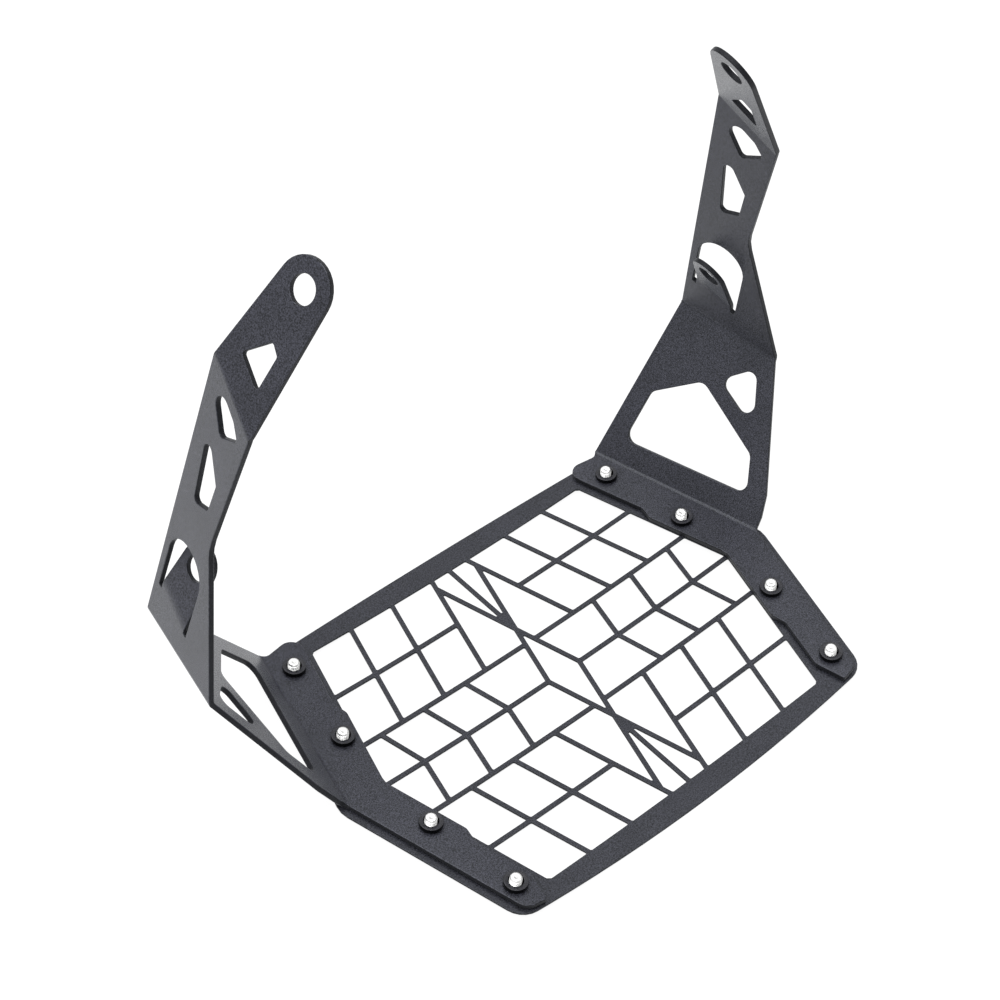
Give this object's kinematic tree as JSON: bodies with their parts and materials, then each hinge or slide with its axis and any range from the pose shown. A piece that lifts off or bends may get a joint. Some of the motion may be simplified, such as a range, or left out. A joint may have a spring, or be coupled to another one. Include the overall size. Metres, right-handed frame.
{
  "type": "motorcycle headlight guard",
  "caption": "Lattice headlight guard: a lightly bowed grille screwed to two mirrored folded brackets with bolt ears.",
  "frame": {"origin": "on the floor, under the middle of the grille, with the guard lying on its front as in the picture", "axes": "+Z from the grille towards the brackets' ears, +X from the left bracket to the right one, +Y towards the long edge that the ears lean to"},
  "size_m": [0.3042, 0.1686, 0.2458],
  "materials": {
    "grille_coat": "fine-textured charcoal powder coat",
    "bracket_coat": "fine-textured charcoal powder coat",
    "screw_steel": "bright zinc-plated steel",
    "nut_black": "black coated steel, satin"
  },
  "bodies": {
    "root": {"grille_plate": "grille_coat", "bracket_left": "bracket_coat", "bracket_right": "bracket_coat", "screw_left_1": "screw_steel", "press_nut_left_1": "nut_black", "screw_left_2": "screw_steel", "press_nut_left_2": "nut_black", "screw_left_3": "screw_steel", "press_nut_left_3": "nut_black", "screw_left_4": "screw_steel", "press_nut_left_4": "nut_black", "screw_right_1": "screw_steel", "press_nut_right_1": "nut_black", "screw_right_2": "screw_steel", "press_nut_right_2": "nut_black", "screw_right_3": "screw_steel", "press_nut_right_3": "nut_black", "screw_right_4": "screw_steel", "press_nut_right_4": "nut_black"}
  },
  "joints": []
}
